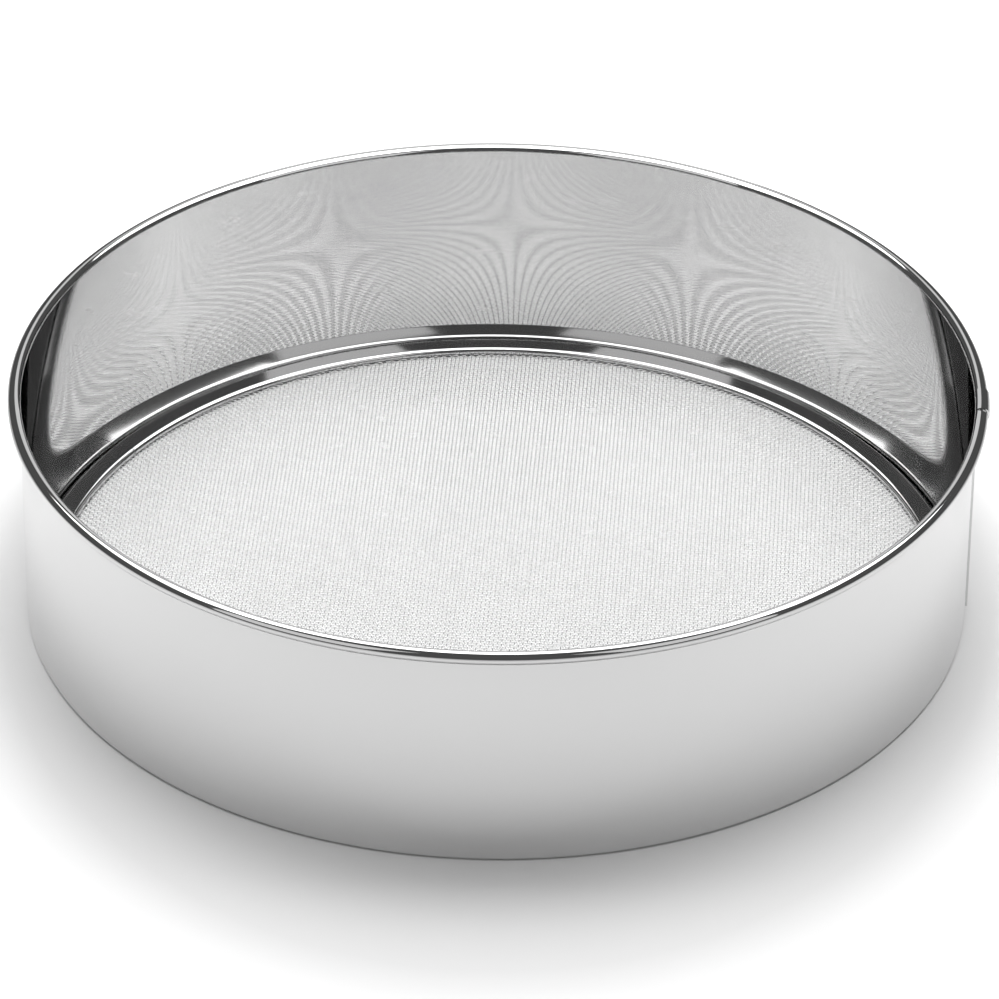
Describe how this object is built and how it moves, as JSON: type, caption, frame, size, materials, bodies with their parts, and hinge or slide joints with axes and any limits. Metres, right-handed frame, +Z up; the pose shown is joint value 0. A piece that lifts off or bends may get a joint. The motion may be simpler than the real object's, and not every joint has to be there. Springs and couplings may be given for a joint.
{
  "type": "soil sieve",
  "caption": "Round soil sieve: a polished stainless steel hoop with a rolled, wired rim and a disc of woven wire cloth held flat at its foot by a clamp ring.",
  "frame": {"origin": "on the surface the sieve stands on, at the middle of the hoop", "axes": "+Z up along the hoop's axis towards the rolled rim, +X towards the lap seam, +Y away from a viewer who has the seam on the right"},
  "size_m": [0.3005, 0.3, 0.0755],
  "materials": {
    "polished_steel": "mirror polished stainless steel with fine wiping marks",
    "clamp_steel": "polished stainless steel, rounded at both shoulders",
    "cloth_wire": "plain woven stainless wire, smooth drawn surface",
    "rim_wire_steel": "drawn steel wire, hidden in the rolled rim"
  },
  "bodies": {
    "root": {"hoop": "polished_steel", "clamp_ring": "clamp_steel", "wire_cloth": "cloth_wire", "rim_wire": "rim_wire_steel"}
  },
  "joints": []
}
